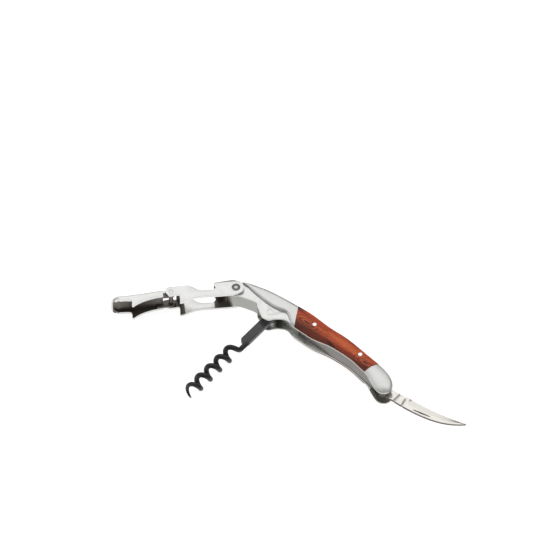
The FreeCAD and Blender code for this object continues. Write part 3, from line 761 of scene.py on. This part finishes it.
def knife():
    """Ground from the middle of the flat to the edge, with two file cuts by the shoulder."""
    shape = copy_node("blade", ON_KNIFE)
    for cut in FILE_CUTS:
        slice_beside(shape, cut)
    slice_along(shape, 0, 14.4, 18.0, 0.4)
    slice_along(shape, 0, 18.7, 48.8, 0.7)
    slice_along(shape, 1, -3.6, 5.8, 0.3)
    paint_knife_shade(shape)
    for vertex in shape.verts:
        x, y, z = vertex.co
        edge = float(np.interp(x, *zip(*KNIFE_EDGE)))
        spine = float(np.interp(x, *zip(*KNIFE_SPINE)))
        ground = max(GRIND_WIDTH * (edge - spine), GRIND_LEAST)
        bevel = min(EDGE_LEFT + (1 - EDGE_LEFT) * max(edge - y, 0) / ground, 1.0)
        taper = 1 - TIP_TAPER * (x - TAPER_START) / TAPER_LENGTH
        begun = smooth_step((x - GRIND_START) / GRIND_FADE)
        thickness = (1 - begun) + begun * bevel * taper
        deepest = max(in_cut(vertex.co, cut) for cut in FILE_CUTS)
        vertex.co.z = z * (thickness - CUT_DEPTH * deepest)
    show(shape, "blade", ON_KNIFE, [finish_of("blade"), FINISHES["inside_painted_shade"]], sharp=28)


# ---------------------------------------------------------------- the other pieces


def soften(node, edge):
    """Show a node's own shape with its edges rounded by edge mm."""
    show(copy_node(node, ON_HANDLE), node, ON_HANDLE, [finish_of(node)], edge=edge)


KNIFE_BAY = 97.0                       # the liners' inner faces get painted shade beyond this


def liner(node, side):
    """Satin faces and a duller sheared edge; painted shade on the inner face round the knife's tang."""
    shape = copy_node(node, ON_HANDLE)
    slice_at(shape, 0, (KNIFE_BAY,))
    shape.normal_update()
    for face in shape.faces:
        outward = side * face.normal.z
        # painted shade on the inner face beyond the knife's tang
        if outward < -0.5 and face.calc_center_median().x > KNIFE_BAY:
            face.material_index = 2
        elif abs(outward) < 0.5:
            face.material_index = 1
    finishes = [finish_of(node), FINISHES["edge_steel"], FINISHES["bay_painted_shade"]]
    show(shape, node, ON_HANDLE, finishes, edge=0.10)


def hinge_pin():
    """Dressed ends as bright as the lever, and a middle between its walls painted dark as shade."""
    shape = copy_node("hinge_pin", ON_HANDLE)
    shape.normal_update()
    for face in shape.faces:
        # painted shade on the pin's round middle
        if abs(face.normal.z) < 0.5:
            face.material_index = 1
    finishes = [finish_of("hinge_pin"), FINISHES["inside_painted_shade"]]
    show(shape, "hinge_pin", ON_HANDLE, finishes, edge=0.22)


def small_pieces():
    for name, side in SIDES.items():
        liner(f"{name}_liner", side)
    for node in ("neck_block", "knife_spring"):
        soften(node, 0.12)
    hinge_pin()
    soften("scale_pins", 0.22)
    soften("lever_rivet", 0.5)
    for node in ("worm_pin", "blade_pin", "neck_pins", "spring_pins", "worm_spacers", "blade_spacers"):
        soften(node, 0.10)


# ---------------------------------------------------------------- stage


# sizes on the stage are metres
AZIMUTH = math.radians(40.9)
ELEVATION = math.radians(54.0)
DISTANCE = 3.3
VIEW_WIDTH = 0.309                     # what the picture spans at the object
SENSOR_WIDTH = 36.0                    # mm
FLOOR_HALF = 3.0
RIGHT = Vector((math.cos(AZIMUTH), math.sin(AZIMUTH), 0))
AHEAD = Vector((-math.sin(AZIMUTH) * math.cos(ELEVATION),
                math.cos(AZIMUTH) * math.cos(ELEVATION), -math.sin(ELEVATION)))
UP = RIGHT.cross(AHEAD)
AIM = RIVET + RIGHT * 0.0219 + UP * 0.0108


def set_camera():
    camera = bpy.data.objects.new("camera", bpy.data.cameras.new("camera"))
    bpy.context.scene.collection.objects.link(camera)
    turned = Matrix((RIGHT, UP, -AHEAD)).transposed().to_4x4()
    camera.matrix_world = Matrix.Translation(AIM - AHEAD * DISTANCE) @ turned
    camera.data.sensor_width = SENSOR_WIDTH
    camera.data.lens = SENSOR_WIDTH * DISTANCE / VIEW_WIDTH
    bpy.context.scene.camera = camera


def add_floor():
    """Pale floor that glows a little, so that it shows as white as studio paper."""
    corners = [(x * FLOOR_HALF, y * FLOOR_HALF, 0) for x, y in ((-1, -1), (1, -1), (1, 1), (-1, 1))]
    mesh = bpy.data.meshes.new("floor")
    mesh.from_pydata(corners, [], [(0, 1, 2, 3)])
    floor = bpy.data.objects.new("floor", mesh)
    bpy.context.scene.collection.objects.link(floor)
    s = Shader("floor")
    s.set(Roughness=0.8, Emission_Color=(1, 1, 1, 1), Emission_Strength=0.80)
    tint = s.noise(s.stretched(EVENLY), 14, detail=3)
    s.join(s.ramp(tint, (0.3, (0.58, 0.58, 0.58)), (0.7, (0.60, 0.60, 0.60))), "Base Color")
    mesh.materials.append(s.material)


def add_light(name, place, size, power):
    data = bpy.data.lights.new(name, "AREA")
    data.shape = "RECTANGLE"
    data.size, data.size_y = size
    data.energy = power
    light = bpy.data.objects.new(name, data)
    light.location = place
    light.rotation_euler = (-Vector(place)).to_track_quat("-Z", "Y").to_euler()
    bpy.context.scene.collection.objects.link(light)


def add_world():
    """Pale room, brightest overhead and darker below the horizon."""
    world = bpy.data.worlds.new("studio")
    world.use_nodes = True
    nodes, links = world.node_tree.nodes, world.node_tree.links
    sky = nodes.new("ShaderNodeTexCoord")
    axes = nodes.new("ShaderNodeSeparateXYZ")
    links.new(sky.outputs["Generated"], axes.inputs["Vector"])
    ramp = nodes.new("ShaderNodeValToRGB")
    stops = ((0.0, 0.20), (0.2, 0.22), (0.5, 0.40), (0.95, 0.50))
    while len(ramp.color_ramp.elements) < len(stops):
        ramp.color_ramp.elements.new(0.5)
    for element, (position, value) in zip(ramp.color_ramp.elements, stops):
        element.position = position
        element.color = (value, value, value, 1)
    links.new(axes.outputs["Z"], ramp.inputs["Fac"])
    links.new(ramp.outputs["Color"], nodes["Background"].inputs["Color"])
    nodes["Background"].inputs["Strength"].default_value = 1.0
    bpy.context.scene.world = world
    bpy.context.scene.view_settings.view_transform = "Standard"


def add_lights():
    add_light("top_box", (-0.50, 0.62, 1.10), (1.5, 1.2), 4.2)
    add_light("left_box", (-1.2, -0.5, 0.9), (0.7, 0.7), 1.5)


set_camera()
add_floor()
add_world()
add_lights()
covers()
first_lever()
second_lever()
worm()
knife()
small_pieces()
